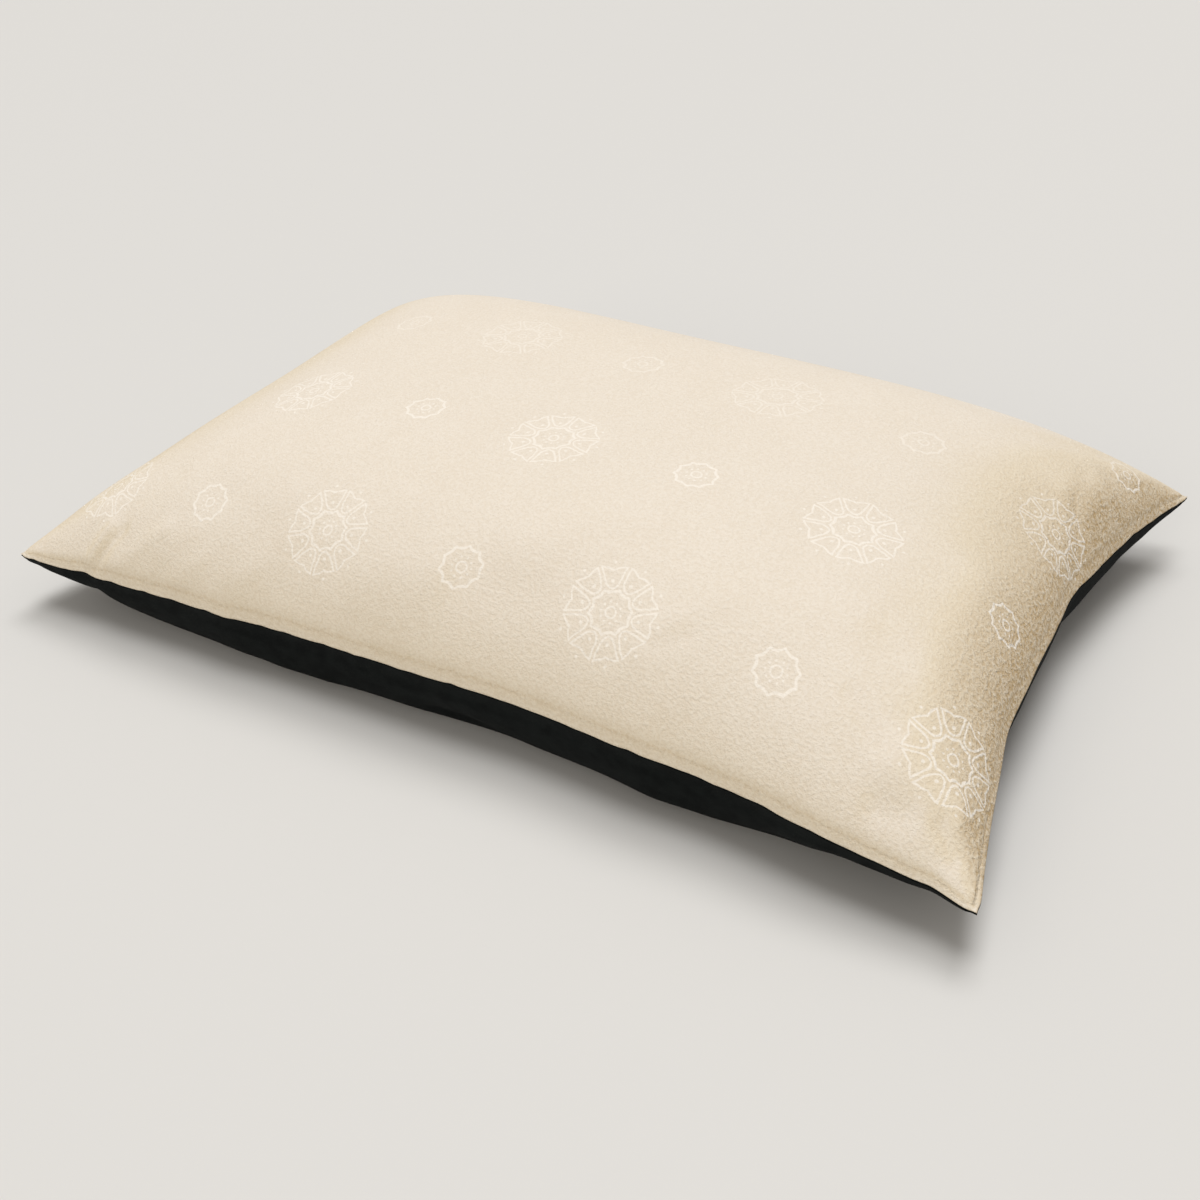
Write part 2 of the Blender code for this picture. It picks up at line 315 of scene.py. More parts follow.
def smoothUnder(across, deep):
    # drops from the seam and rolls onto the floor, where it is flat
    points = spannedSurface(across, deep)
    full = 1 - np.abs(across) ** cushionForm["baseFullnessAcross"]
    full = full * (1 - np.abs(deep) ** cushionForm["baseFullnessDeep"])
    drop = cushionForm["baseDrop"] * np.clip(full, 0, 1) ** cushionForm["basePower"]
    height = points[..., 2] - cushionForm["cloth"] - cushionForm["gap"] / 2 - drop
    blend = cushionForm["floorBlend"]
    rolled = (height + blend) ** 2 / (4 * blend)
    points[..., 2] = np.where(height > blend, height, np.where(height < -blend, 0, rolled))
    return points


def upwardNormals(surface, across, deep):
    # straight up on the seam itself, so that both cloths meet it in the same place
    step = cushionForm["slopeStep"]
    column = np.clip(across, -1 + step, 1 - step)
    row = np.clip(deep, -1 + step, 1 - step)
    slopeX = surface(column + step, row) - surface(column - step, row)
    slopeY = surface(column, row + step) - surface(column, row - step)
    normals = np.cross(slopeX, slopeY)
    normals /= np.linalg.norm(normals, axis=-1, keepdims=True)
    normals[np.maximum(np.abs(across), np.abs(deep)) > 1 - step] = (0, 0, 1)
    return normals


def seamFade(across, deep):
    toSeam = np.minimum(1 - np.abs(across), 1 - np.abs(deep))
    return np.clip(toSeam / cushionForm["seamFade"], 0, 1)


def topFace(across, deep):
    points = smoothTop(across, deep)
    rise = foldHeight(points[..., 0], points[..., 1], mainFolds) * seamFade(across, deep)
    return points + rise[..., None] * upwardNormals(smoothTop, across, deep)


def baseOuterFace(across, deep):
    points = smoothUnder(across, deep)
    rise = foldHeight(points[..., 0], points[..., 1], baseFolds) * seamFade(across, deep)
    rise *= np.clip(points[..., 2] / cushionForm["floorBlend"], 0, 1)
    points = points - rise[..., None] * upwardNormals(smoothUnder, across, deep)
    points[..., 2] = np.maximum(points[..., 2], 0)
    return points


def baseInnerFace(across, deep):
    return baseOuterFace(across, deep) + cushionForm["cloth"] * upwardNormals(smoothUnder, across, deep)


def fillingUnderFace(across, deep):
    clear = cushionForm["cloth"] + cushionForm["gap"]
    return baseOuterFace(across, deep) + clear * upwardNormals(smoothUnder, across, deep)


def crowded(place):
    # even grid lines between -1 and 1, moved closer to the ends
    share = cushionForm["edgeCrowding"]
    return (1 - share) * place + share * np.sin(place * np.pi / 2)


def gridPlaces(columns, rows):
    across = crowded(np.linspace(-1, 1, columns + 1))
    deep = crowded(np.linspace(-1, 1, rows + 1))
    return np.meshgrid(across, deep)


def arcShares(points):
    # how far each grid point lies along its row and along its column, from 0 to 1 over the cloth
    alongRow = np.linalg.norm(np.diff(points, axis=1), axis=-1).cumsum(axis=1)
    alongColumn = np.linalg.norm(np.diff(points, axis=0), axis=-1).cumsum(axis=0)
    u = np.pad(alongRow / alongRow[:, -1:], ((0, 0), (1, 0)))
    v = np.pad(alongColumn / alongColumn[-1:, :], ((1, 0), (0, 0)))
    return u, v


def onLevel(places, level):
    # a sewn panel is made from a flat box, 0 high at its lower face and 1 high at its upper face
    return np.abs(places[:, 2] - level) < 0.25


def sewnPanel(name, lowerFace, upperFace, columns, rows):
    # a closed cloth or pad between two faces on one grid, its folded edge rounding out past the seam
    work = bmesh.new()
    bmesh.ops.create_grid(work, x_segments=columns, y_segments=rows, size=1)
    grown = bmesh.ops.extrude_face_region(work, geom=work.faces[:], use_keep_orig=True)
    raised = [item for item in grown["geom"] if isinstance(item, bmesh.types.BMVert)]
    bmesh.ops.translate(work, verts=raised, vec=(0, 0, 1))
    upright = [edge for edge in work.edges if abs(edge.verts[0].co.z - edge.verts[1].co.z) > 0.5]
    bmesh.ops.subdivide_edges(work, edges=upright, cuts=1)
    places = np.array([vert.co[:] for vert in work.verts])
    across, deep = crowded(places[:, 0]), crowded(places[:, 1])
    lower, upper = lowerFace(across, deep), upperFace(across, deep)
    edge = (lower + upper) / 2
    seamward = np.stack([across, deep], axis=-1)
    onSeam = np.abs(seamward) > cushionForm["nearlySeam"]
    edge[:, :2] += cushionForm["lip"] * onSeam * np.sign(seamward)
    points = np.where(onLevel(places, 0)[:, None], lower, edge)
    points = np.where(onLevel(places, 1)[:, None], upper, points)
    for vert, point in zip(work.verts, points):
        vert.co = point
    bmesh.ops.recalc_face_normals(work, faces=work.faces[:])
    mesh = bpy.data.meshes.new(name)
    work.to_mesh(mesh)
    work.free()
    mesh.shade_smooth()
    piece = bpy.data.objects.new(name, mesh)
    bpy.context.scene.collection.objects.link(piece)
    return piece, places


# The fleece top: how its cloth lies, and its finish
fleece = {
    "columns": 296,
    "rows": 192,
    "nearRoll": Roll(0.0050, 0.005, 0.022),  # the pile's own small rolls beside two of the seams
    "leftRoll": Roll(0.0025, 0.006, 0.025),
    "grooveDepth": 0.0011,  # the stitching draws in a shallow groove just inside the seam
    "groovePlace": 0.0040,
    "grooveHalfWidth": 0.0017,
    "fineFade": 0.008,  # how near the seam the finer creases die out
    "trialColumns": 96,
    "trialRows": 64,
    "flatLength": 1.302,  # the panel as cut, between its seams
    "flatWidth": 0.884,
    "trialGap": 0.004,  # between the cut panel and the base at the start
    "frames": 24,
    "wrinkleReach": 0.055,  # anything wider than this is the cushion's own form, and is left out
    "wrinkleSmooth": 0.022,  # anything narrower is only the trial's coarse grid
    "wrinkleCap": 0.0012,  # how far a point may move
    "openAndShadeFrom": 0.17,  # how far the cloth tips over before its pile opens and its colour takes painted shade
    "openAndShadeTo": 0.86,
    "openAndShadeSideways": 0.40,  # less where the cloth tips towards the long sides than towards the ends
    "openAndShadeEase": 1.6,  # above 1 the pile opens, and the painted shade comes in, late
    "openAndShadeAtSeam": 0.45,  # and in the seam groove, where it paints shade into the groove
    "tips": (0.862, 0.786, 0.684, 1),
    "shadedWarmTips": (0.860, 0.770, 0.622, 1),  # painted warm shade where the cloth begins to tip over
    "shadedWarmFully": 0.20,  # how far the pile has opened, and the warm shade is painted, by then
    # the deeper ground between the tips, which is also the colour of the painted shade on the slopes
    "ground": (0.560, 0.400, 0.208, 1),
    "groundShows": 0.16,  # how much of the ground shows between the tips, where the pile is closed
    "groundOpensAndShades": 0.25,  # and how much more where it is open, which paints the slopes darker as shade
    "tuftsShowAndShade": 0.43,  # the same between the tufts of the open pile, which also darkens the whole slope evenly as painted shade
    "tuftContrast": 0.32,
    "tuftRange": (0.68, 0.32),
    "print": (0.960, 0.900, 0.815, 1),
    "printStrength": 0.65,
    "printOnTips": 0.20,  # how much more print the tips take, and the open pile
    "printOnOpen": 0.14,
    "fainterFrom": 0.42,  # the print fades across the panel's far half, from this share of its width
    "fainterTo": 0.62,
    "fainterBy": 0.40,
    "clumps": 300,  # to the metre
    "fibres": 800,
    "tufts": 210,
    "patches": 13,
    "pileDepth": 0.0033,
    "closedRelief": 0.5,  # how much of that depth the closed pile has, and how much more the open pile
    "openRelief": 0.3,
    "roughness": 0.95,
    "sheen": 0.12,
    "sheenRoughness": 0.5,
    "specular": 0.12,
}


# How the trial's cloth behaves, under the names of the cloth settings themselves
trialCloth = {
    "quality": 6,
    "mass": 0.25,
    "air_damping": 2,
    "tension_stiffness": 18,
    "compression_stiffness": 18,
    "shear_stiffness": 6,
    "bending_stiffness": 0.6,
    "use_pressure": True,
    "uniform_pressure_force": 4.0,
}


def gridNumbers(places, columns, rows):
    # which column and row of the grid each point of a sewn panel stands on
    column = np.rint((places[:, 0] + 1) / 2 * columns).astype(int)
    row = np.rint((places[:, 1] + 1) / 2 * rows).astype(int)
    return column, row


def blurred(field, reach):
    # three box blurs each way, with the edges held
    cells = (cushionForm["width"] / fleece["trialRows"], cushionForm["length"] / fleece["trialColumns"])
    for axis, cell in enumerate(cells):
        half = max(1, int(round(reach / cell / 2)))
        size = field.shape[axis]
        for _ in range(3):
            widths = [(0, 0)] * field.ndim
            widths[axis] = (half, half)
            padded = np.pad(field, widths, mode="edge")
            shifted = [np.take(padded, range(k, k + size), axis=axis) for k in range(2 * half + 1)]
            field = np.mean(shifted, axis=0)
    return field


def wrinkleHeights():
    # a coarse cushion is blown up as cloth, and only the wrinkles that it makes are kept
    columns, rows = fleece["trialColumns"], fleece["trialRows"]
    piece, places = sewnPanel("clothTrial", fillingUnderFace, topFace, columns, rows)
    across, deep = gridPlaces(columns, rows)
    u, v = arcShares(topFace(across, deep))
    middleU, middleV = u[rows // 2], v[:, columns // 2]
    column, row = gridNumbers(places, columns, rows)
    points = np.array([vert.co[:] for vert in piece.data.vertices])
    inside = np.abs(places[:, :2]).max(axis=1) < cushionForm["nearlySeam"]
    onTop = onLevel(places, 1) & inside
    piece.shape_key_add(name="Basis")
    cut = piece.shape_key_add(name="cut panel")
    for number, place in enumerate(cut.data):
        flatX = (middleU[column[number]] - 0.5) * fleece["flatLength"]
        flatY = (middleV[row[number]] - 0.5) * fleece["flatWidth"]
        place.co = (flatX, flatY, fleece["trialGap"] if onTop[number] else 0)
    held = piece.vertex_groups.new(name="held")
    held.add([int(number) for number in np.flatnonzero(~onTop)], 1.0, "REPLACE")
    modifier = piece.modifiers.new("cloth", "CLOTH")
    cloth = modifier.settings
    for setting, value in trialCloth.items():
        setattr(cloth, setting, value)
    cloth.rest_shape_key = cut
    cloth.vertex_group_mass = held.name
    cloth.effector_weights.gravity = 0
    modifier.collision_settings.use_collision = False
    modifier.point_cache.frame_start = 1
    modifier.point_cache.frame_end = fleece["frames"]
    for number in range(1, fleece["frames"] + 1):
        bpy.context.scene.frame_set(number)
    settled = piece.evaluated_get(bpy.context.evaluated_depsgraph_get())
    moved = np.array([vert.co[:] for vert in settled.data.vertices]) - points
    normals = upwardNormals(smoothTop, across, deep)
    lift = np.zeros((rows + 1, columns + 1))
    top = np.flatnonzero(onTop)
    lift[row[top], column[top]] = np.einsum("ij,ij->i", moved[top], normals[row[top], column[top]])
    bpy.data.objects.remove(piece, do_unlink=True)
    bpy.context.scene.frame_set(1)
    wrinkle = blurred(lift, fleece["wrinkleSmooth"]) - blurred(lift, fleece["wrinkleReach"])
    cap = fleece["wrinkleCap"]
    print("cloth trial run: wrinkles up to %.1f mm before the cap" % (1000 * np.abs(wrinkle).max()))
    return cap * np.tanh(wrinkle / cap)


wrinkles = wrinkleHeights()


def wrinkleHeight(across, deep):
    # the trial's wrinkles, read smoothly between its own grid points
    columns, rows = fleece["trialColumns"], fleece["trialRows"]
    x = np.interp(across, crowded(np.linspace(-1, 1, columns + 1)), np.arange(columns + 1))
    y = np.interp(deep, crowded(np.linspace(-1, 1, rows + 1)), np.arange(rows + 1))
    column = np.clip(np.floor(x).astype(int), 0, columns - 1)
    row = np.clip(np.floor(y).astype(int), 0, rows - 1)
    x = x - column
    y = y - row
    x = x * x * (3 - 2 * x)
    y = y * y * (3 - 2 * y)
    low = wrinkles[row, column] * (1 - x) + wrinkles[row, column + 1] * x
    high = wrinkles[row + 1, column] * (1 - x) + wrinkles[row + 1, column + 1] * x
    return low * (1 - y) + high * y


def sewnGroove(toSeam):
    # 1 along the bottom of the groove
    return np.exp(-(((toSeam - fleece["groovePlace"]) / fleece["grooveHalfWidth"]) ** 2))


def fleeceFace(across, deep):
    points = topFace(across, deep)
    toNear, toRight, toFar, toLeft = seamDistances(across, deep)
    toSeam = np.min((toNear, toRight, toFar, toLeft), axis=0)
    rise = foldHeight(points[..., 0], points[..., 1], fineFolds) * np.clip(toSeam / fleece["fineFade"], 0, 1)
    rise += rollHeight(fleece["nearRoll"], toNear, np.minimum(toLeft, toRight))
    rise += rollHeight(fleece["leftRoll"], toLeft, np.minimum(toNear, toFar))
    rise -= fleece["grooveDepth"] * sewnGroove(toSeam)
    rise += wrinkleHeight(across, deep)
    return points + rise[..., None] * upwardNormals(smoothTop, across, deep)


# What every cloth's grain is mixed from
grain = {
    "roughness": 0.6,
    "clumpShare": 0.7,
    "fibreShare": 0.3,
    "patchShare": 0.15,
    "shadeFrom": 0.36,
    "shadeTo": 0.64,
}


# Short words for the material nodes


def newGroup(name, inputs, outputs):
    tree = bpy.data.node_groups.new(name, "ShaderNodeTree")
    for label, kind in inputs:
        tree.interface.new_socket(label, in_out="INPUT", socket_type=kind)
    for label in outputs:
        tree.interface.new_socket(label, in_out="OUTPUT", socket_type="NodeSocketFloat")
    return tree, tree.nodes.new("NodeGroupInput").outputs, tree.nodes.new("NodeGroupOutput").inputs


def feed(tree, socket, value):
    if isinstance(value, bpy.types.NodeSocket):
        tree.links.new(value, socket)
    else:
        socket.default_value = value


def calc(tree, operation, *values):
    node = tree.nodes.new("ShaderNodeMath")
    node.operation = operation
    for socket, value in zip(node.inputs, values):
        feed(tree, socket, value)
    return node.outputs[0]


def noise(tree, place, scale, detail):
    node = tree.nodes.new("ShaderNodeTexNoise")
    feed(tree, node.inputs["Vector"], place)
    feed(tree, node.inputs["Scale"], scale)
    node.inputs["Detail"].default_value = detail
    node.inputs["Roughness"].default_value = grain["roughness"]
    return node


def ramp(tree, value, start, end):
    # 0 at start and 1 at end, easing at both
    node = tree.nodes.new("ShaderNodeMapRange")
    node.interpolation_type = "SMOOTHSTEP"
    feed(tree, node.inputs["Value"], value)
    feed(tree, node.inputs["From Min"], start)
    feed(tree, node.inputs["From Max"], end)
    return node.outputs[0]


def mixColour(tree, share, first, second):
    node = tree.nodes.new("ShaderNodeMix")
    node.data_type = "RGBA"
    feed(tree, node.inputs[0], share)
    feed(tree, node.inputs[6], first)
    feed(tree, node.inputs[7], second)
    return node.outputs[2]


def clothGrainGroup():
    # the uneven surface of a cloth: clumps, single fibres and broad patches, all counted to the metre
    inputs = (("Place", "NodeSocketVector"), ("Clumps", "NodeSocketFloat"), ("Fibres", "NodeSocketFloat"),
              ("Patches", "NodeSocketFloat"))
    tree, given, made = newGroup("clothGrain", inputs, ("Height", "Shade"))
    clumps = noise(tree, given["Place"], given["Clumps"], 1).outputs[0]
    fibres = noise(tree, given["Place"], given["Fibres"], 1).outputs[0]
    patches = noise(tree, given["Place"], given["Patches"], 2).outputs[0]
    clumps = calc(tree, "MULTIPLY", clumps, grain["clumpShare"])
    height = calc(tree, "MULTIPLY_ADD", fibres, grain["fibreShare"], clumps)
    patches = calc(tree, "MULTIPLY", patches, grain["patchShare"])
    shade = calc(tree, "MULTIPLY_ADD", height, 1 - grain["patchShare"], patches)
    tree.links.new(height, made["Height"])
    tree.links.new(ramp(tree, shade, grain["shadeFrom"], grain["shadeTo"]), made["Shade"])
    return tree


clothGrain = clothGrainGroup()


def placeGrain(tree, cloth):
    node = tree.nodes.new("ShaderNodeGroup")
    node.node_tree = clothGrain
    tree.links.new(tree.nodes.new("ShaderNodeTexCoord").outputs["Object"], node.inputs["Place"])
    node.inputs["Clumps"].default_value = cloth["clumps"]
    node.inputs["Fibres"].default_value = cloth["fibres"]
    node.inputs["Patches"].default_value = cloth["patches"]
    return node.outputs["Height"], node.outputs["Shade"]


# The print: round medallions, large and small by turns, in offset rows, drawn from these sizes
medallion = {
    "columnPitch": 184.5,  # millimetres on the flat panel, as all that follow
    "rowPitch": 213.0,
    "columnsAcross": 7.057,  # how many pitches the panel spans, and where its corner lies among them
    "firstColumn": -1.69,
    "rowsDeep": 4.150,
    "firstRow": -0.587,
    "petals": 10,
    "eyeRing": 6.0,
    "eyeDots": 11.6,
    "eyeDotRadius": 1.25,
    "scallopLow": 21.8,
    "scallopRise": 3.2,
    "scallopHalfWidth": 1.7,
    "petalFoot": 26.3,
    "footBend": 0.104,  # how sharply the rounded foot turns up into the sides
    "petalApart": 2.5,  # half the space between neighbours
    "petalTop": 47.4,
    "petalTopRise": 3.2,
    "petalTopHalfWidth": 14.0,
    "petalDot": 34.5,
    "petalDotRadius": 2.0,
    "outerDots": 57.0,
    "outerDotRadius": 1.6,
    "lineHalfWidth": 1.1,
    "softness": 0.7,
    "waver": 1.3,  # how far the lines stray, as drawn by hand
    "waverGrain": 22,  # how often, in a pitch
    "petalRounding": 2.0,
}


def medallionGroup():
    # Place counts the pitches across and deep, and Print is 1 on the lines
    tree, given, made = newGroup("medallionPrint", [("Place", "NodeSocketVector")], ["Print"])
    size = medallion
    split = tree.nodes.new("ShaderNodeSeparateXYZ")
    tree.links.new(given["Place"], split.inputs[0])
    column = calc(tree, "ROUND", split.outputs["X"])
    row = calc(tree, "ROUND", split.outputs["Y"])
    large = calc(tree, "FLOORED_MODULO", calc(tree, "ADD", column, row), 2.0)
    stray = tree.nodes.new("ShaderNodeSeparateColor")
    tree.links.new(noise(tree, given["Place"], size["waverGrain"], 1).outputs["Color"], stray.inputs[0])

    def fromMiddle(count, nearest, pitch, strayed):
        straight = calc(tree, "MULTIPLY", calc(tree, "SUBTRACT", count, nearest), pitch)
        aside = calc(tree, "MULTIPLY_ADD", strayed, 2 * size["waver"], -size["waver"])
        return calc(tree, "ADD", straight, aside)

    x = fromMiddle(split.outputs["X"], column, size["columnPitch"], stray.outputs[0])
    y = fromMiddle(split.outputs["Y"], row, size["rowPitch"], stray.outputs[1])
    radius = calc(tree, "SQRT", calc(tree, "ADD", calc(tree, "MULTIPLY", x, x), calc(tree, "MULTIPLY", y, y)))
    turn = calc(tree, "MULTIPLY", calc(tree, "ARCTAN2", y, x), size["petals"] / (2 * math.pi))
    offAxis = calc(tree, "SUBTRACT", turn, calc(tree, "ROUND", turn))  # -0.5 to 0.5 from the petal's axis
    angle = calc(tree, "MULTIPLY", offAxis, 2 * math.pi / size["petals"])
    along = calc(tree, "MULTIPLY", radius, calc(tree, "COSINE", angle))
    aside = calc(tree, "ABSOLUTE", calc(tree, "MULTIPLY", radius, calc(tree, "SINE", angle)))
    asideSquared = calc(tree, "MULTIPLY", aside, aside)

    def line(distance, halfWidth):
        soft = size["softness"]
        return ramp(tree, calc(tree, "ABSOLUTE", distance), halfWidth + soft, max(halfWidth - soft, 0))

    def dot(place, dotRadius):
        off = calc(tree, "SUBTRACT", along, place)
        off = calc(tree, "SQRT", calc(tree, "ADD", calc(tree, "MULTIPLY", off, off), asideSquared))
        return line(off, dotRadius)

    cusp = calc(tree, "MULTIPLY", offAxis, 2.0)
    scallop = calc(tree, "MULTIPLY", calc(tree, "MULTIPLY", cusp, cusp), size["scallopRise"])
    scallop = calc(tree, "ADD", scallop, size["scallopLow"])
    middle = line(calc(tree, "SUBTRACT", radius, size["eyeRing"]), size["lineHalfWidth"])
    middle = calc(tree, "MAXIMUM", middle, dot(size["eyeDots"], size["eyeDotRadius"]))
    scallop = line(calc(tree, "SUBTRACT", radius, scallop), size["scallopHalfWidth"])
    middle = calc(tree, "MAXIMUM", middle, scallop)

    # a petal stands apart from its neighbours, on a rounded foot
    half = math.pi / size["petals"]
    toNeighbour = calc(tree, "SUBTRACT", calc(tree, "MULTIPLY", along, math.sin(half)),
                       calc(tree, "MULTIPLY", aside, math.cos(half)))
    inSides = calc(tree, "SUBTRACT", toNeighbour, size["petalApart"])
    aboveFoot = calc(tree, "SUBTRACT", calc(tree, "SUBTRACT", along, size["petalFoot"]),
                     calc(tree, "MULTIPLY", asideSquared, size["footBend"]))
    steepness = calc(tree, "MULTIPLY_ADD", asideSquared, 4 * size["footBend"] ** 2, 1.0)
    aboveFoot = calc(tree, "DIVIDE", aboveFoot, calc(tree, "SQRT", steepness))
    inside = calc(tree, "SMOOTH_MIN", inSides, aboveFoot, size["petalRounding"])

    # its top is drawn down to a point in the middle
    reach = calc(tree, "DIVIDE", aside, size["petalTopHalfWidth"])
    arch = calc(tree, "MULTIPLY", reach, calc(tree, "SUBTRACT", 2.0, reach))
    top = calc(tree, "MULTIPLY_ADD", arch, size["petalTopRise"], size["petalTop"])
    beyond = calc(tree, "SUBTRACT", along, top)
    outline = line(inside, size["lineHalfWidth"])
    outline = calc(tree, "MULTIPLY", outline, calc(tree, "LESS_THAN", beyond, size["lineHalfWidth"]))
    closing = line(beyond, size["lineHalfWidth"])
    closing = calc(tree, "MULTIPLY", closing, calc(tree, "GREATER_THAN", inside, -size["lineHalfWidth"]))
    petals = calc(tree, "MAXIMUM", outline, closing)
    petals = calc(tree, "MAXIMUM", petals, dot(size["petalDot"], size["petalDotRadius"]))
    petals = calc(tree, "MAXIMUM", petals, dot(size["outerDots"], size["outerDotRadius"]))
    tree.links.new(calc(tree, "MAXIMUM", middle, calc(tree, "MULTIPLY", petals, large)), made["Print"])
    return tree


def fleeceMaterial():
    material = bpy.data.materials.new("printedFleece")
    material.use_nodes = True
    tree = material.node_tree
    shader = tree.nodes["Principled BSDF"]
    height, shade = placeGrain(tree, fleece)
    # this mask is partly the opening pile's relief and partly painted shade on the slopes and in the seam
    # groove
    openPileAndShade = tree.nodes.new("ShaderNodeAttribute")
    openPileAndShade.attribute_name = "openPileAndShade"
    openPileAndShade = openPileAndShade.outputs["Fac"]

    # the deeper ground shows between the tips, and more of it where the pile opens into tufts, which paints
    # the slopes and the seam groove darker and warmer as shade
    place = tree.nodes.new("ShaderNodeTexCoord").outputs["Object"]
    tufts = noise(tree, place, fleece["tufts"], 2).outputs[0]
    contrast = fleece["tuftContrast"]
    partedAndShaded = calc(tree, "MULTIPLY_ADD", ramp(tree, tufts, *fleece["tuftRange"]), 2 * contrast, -contrast)
    partedAndShaded = calc(tree, "MULTIPLY_ADD", openPileAndShade, partedAndShaded, fleece["tuftsShowAndShade"])
    shownAndShaded = calc(tree, "MULTIPLY_ADD", openPileAndShade, fleece["groundOpensAndShades"], fleece["groundShows"])
    deep = calc(tree, "MULTIPLY", calc(tree, "SUBTRACT", 1.0, shade), shownAndShaded)
    deep = calc(tree, "MULTIPLY_ADD", openPileAndShade, partedAndShaded, deep)
    # painted shade: the tips turn warmer on the slopes
    slopeShade = ramp(tree, openPileAndShade, 0.0, fleece["shadedWarmFully"])
    tips = mixColour(tree, slopeShade, fleece["tips"], fleece["shadedWarmTips"])
    cloth = mixColour(tree, deep, tips, fleece["ground"])

    flat = tree.nodes.new("ShaderNodeUVMap")
    flat.uv_map = "flatPanel"
    lattice = tree.nodes.new("ShaderNodeMapping")
    lattice.inputs["Scale"].default_value = (medallion["columnsAcross"], medallion["rowsDeep"], 1)
    lattice.inputs["Location"].default_value = (medallion["firstColumn"], medallion["firstRow"], 0)
    tree.links.new(flat.outputs[0], lattice.inputs["Vector"])
    medallions = tree.nodes.new("ShaderNodeGroup")
    medallions.node_tree = medallionGroup()
    tree.links.new(lattice.outputs[0], medallions.inputs["Place"])

    # the tips of the pile take more of the print, and it stands out where the pile opens and the ground is
    # painted darker as shade
    taken = calc(tree, "MULTIPLY_ADD", shade, fleece["printOnTips"], fleece["printStrength"])
    taken = calc(tree, "MULTIPLY_ADD", openPileAndShade, fleece["printOnOpen"], taken)
    acrossPanel = tree.nodes.new("ShaderNodeSeparateXYZ")
    tree.links.new(flat.outputs[0], acrossPanel.inputs[0])
    fainter = ramp(tree, acrossPanel.outputs["Y"], fleece["fainterFrom"], fleece["fainterTo"])
    fainter = calc(tree, "MULTIPLY", fainter, calc(tree, "SUBTRACT", 1.0, openPileAndShade))
    taken = calc(tree, "MULTIPLY", taken, calc(tree, "MULTIPLY_ADD", fainter, -fleece["fainterBy"], 1.0))
    inked = calc(tree, "MULTIPLY", medallions.outputs["Print"], taken)
    tree.links.new(mixColour(tree, inked, cloth, fleece["print"]), shader.inputs["Base Color"])

    bump = tree.nodes.new("ShaderNodeBump")
    bump.inputs["Strength"].default_value = 1.0
    bump.inputs["Distance"].default_value = fleece["pileDepth"]
    relief = calc(tree, "MULTIPLY_ADD", openPileAndShade, fleece["openRelief"], fleece["closedRelief"])
    relief = calc(tree, "MULTIPLY", height, relief)
    relief = calc(tree, "MULTIPLY_ADD", openPileAndShade, tufts, relief)
    tree.links.new(relief, bump.inputs["Height"])
    tree.links.new(bump.outputs[0], shader.inputs["Normal"])
    shader.inputs["Roughness"].default_value = fleece["roughness"]
    shader.inputs["Sheen Weight"].default_value = fleece["sheen"]
    shader.inputs["Sheen Roughness"].default_value = fleece["sheenRoughness"]
    shader.inputs["Specular IOR Level"].default_value = fleece["specular"]
    return material


def layOutCloth(piece, places, columns, rows, face):
    # the piece's own UV map: where each point lies on the flat panel, 0 to 1 each way
    u, v = arcShares(face(*gridPlaces(columns, rows)))
    column, row = gridNumbers(places, columns, rows)
    layer = piece.data.uv_layers.new(name="flatPanel")
    corner = np.empty(len(piece.data.loops), int)
    piece.data.loops.foreach_get("vertex_index", corner)
    flat = np.stack([u[row, column], v[row, column]], axis=-1)[corner]
    layer.data.foreach_set("uv", flat.astype(np.float32).ravel())


def partPileAndPaintShade(piece, places):
    # the pile opens on the slopes and along the seam, and there the colour is painted darker and warmer as
    # shade: the more the cloth tips over, the more
    normals = [vert.normal for vert in piece.data.vertices]
    tipped = np.array([math.hypot(normal.x, fleece["openAndShadeSideways"] * normal.y) for normal in normals])
    share = (tipped - fleece["openAndShadeFrom"]) / (fleece["openAndShadeTo"] - fleece["openAndShadeFrom"])
    share = np.clip(share, 0, 1) ** fleece["openAndShadeEase"]
    toSeam = np.min(seamDistances(crowded(places[:, 0]), crowded(places[:, 1])), axis=0)
    # painted shade: the seam groove's colour is darkened like the opened pile
    share = np.maximum(share, fleece["openAndShadeAtSeam"] * sewnGroove(toSeam))
    layer = piece.data.attributes.new("openPileAndShade", "FLOAT", "POINT")
    layer.data.foreach_set("value", share.astype(np.float32))


columns, rows = fleece["columns"], fleece["rows"]
fleeceTop, topPlaces = sewnPanel("fleece_top", fillingUnderFace, fleeceFace, columns, rows)
layOutCloth(fleeceTop, topPlaces, columns, rows, fleeceFace)
partPileAndPaintShade(fleeceTop, topPlaces)
fleeceTop.data.materials.append(fleeceMaterial())
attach(fleeceTop, "root")
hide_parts("filled_top")
print("fleece top made:", len(fleeceTop.data.polygons), "faces")

# The canvas base
canvas = {
    "columns": 208,
    "rows": 136,
    "flatLength": 1.302,  # cut to the same size as the fleece
    "flatWidth": 0.884,
    "thread": (0.0040, 0.0052, 0.0052, 1),
    "worn": (0.0075, 0.0095, 0.0093, 1),
    "threadPitch": 0.0011,
    "threadDepth": 0.0003,
    "threadRelief": 0.5,  # how strongly the threads stand out
    "clumps": 60,
    "fibres": 900,
    "patches": 7,
    "roughness": 0.95,
    "sheen": 0.02,
    "specular": 0.05,
}


